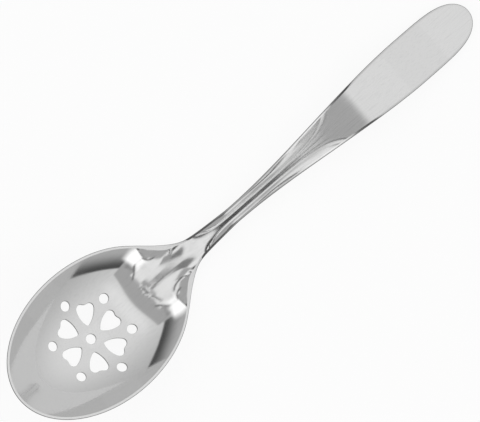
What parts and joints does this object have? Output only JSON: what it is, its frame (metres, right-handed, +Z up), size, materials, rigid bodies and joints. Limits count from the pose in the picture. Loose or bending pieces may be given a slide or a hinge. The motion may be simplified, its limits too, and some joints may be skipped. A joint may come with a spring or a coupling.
{
  "type": "slotted spoon",
  "caption": "Serving spoon with an oval bowl pierced by a flower of heart-shaped slots and round holes, a slim neck and a flat arched handle.",
  "frame": {"origin": "on the table, below the middle of the spoon's bounding box as it lies on its bowl and its handle's tail", "axes": "+X from the bowl's tip towards the handle's end, +Y across the spoon, +Z up"},
  "size_m": [0.2554, 0.063, 0.0406],
  "materials": {
    "steel": "polished stainless steel"
  },
  "bodies": {
    "root": {"spoon": "steel"}
  },
  "joints": []
}
